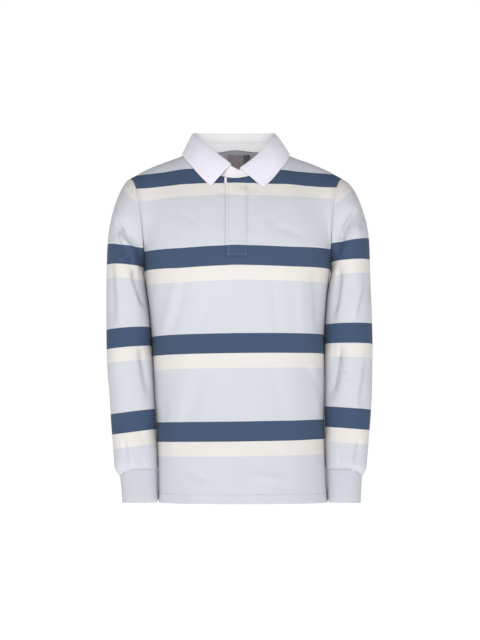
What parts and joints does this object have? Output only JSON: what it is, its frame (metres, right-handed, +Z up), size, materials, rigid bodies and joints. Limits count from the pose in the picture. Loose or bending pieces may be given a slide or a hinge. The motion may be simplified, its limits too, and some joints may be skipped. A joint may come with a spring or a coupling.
{
  "type": "polo shirt",
  "caption": "Long-sleeved striped jersey shirt with a woven turn-down collar, closed front placket and plain cuffs, filled out with nothing inside.",
  "frame": {"origin": "between the shoulders, level with the side of the neck: the middle of what the shirt hangs from when it is worn", "axes": "+Z up, -Y towards the front of the shirt, -X towards the sleeve on the left of the front view"},
  "size_m": [0.5311, 0.245, 0.752],
  "materials": {
    "front": "striped cotton jersey, matt",
    "back": "striped cotton jersey, matt",
    "sleeve_left": "striped cotton jersey, matt",
    "sleeve_right": "striped cotton jersey, matt",
    "cuff_left": "plain cotton knit, matt",
    "cuff_right": "plain cotton knit, matt",
    "collar": "plain woven cotton, matt",
    "collar_stand": "plain woven cotton, matt",
    "placket": "striped cotton jersey, stitched",
    "placket_tape": "plain woven cotton tape",
    "neck_label": "blank woven label",
    "size_label": "blank woven label"
  },
  "bodies": {
    "root": {"front": "front", "back": "back", "sleeve_left": "sleeve_left", "sleeve_right": "sleeve_right", "cuff_left": "cuff_left", "cuff_right": "cuff_right", "collar": "collar", "collar_stand": "collar_stand", "placket": "placket", "placket_tape": "placket_tape", "neck_label": "neck_label", "size_label": "size_label"}
  },
  "joints": []
}
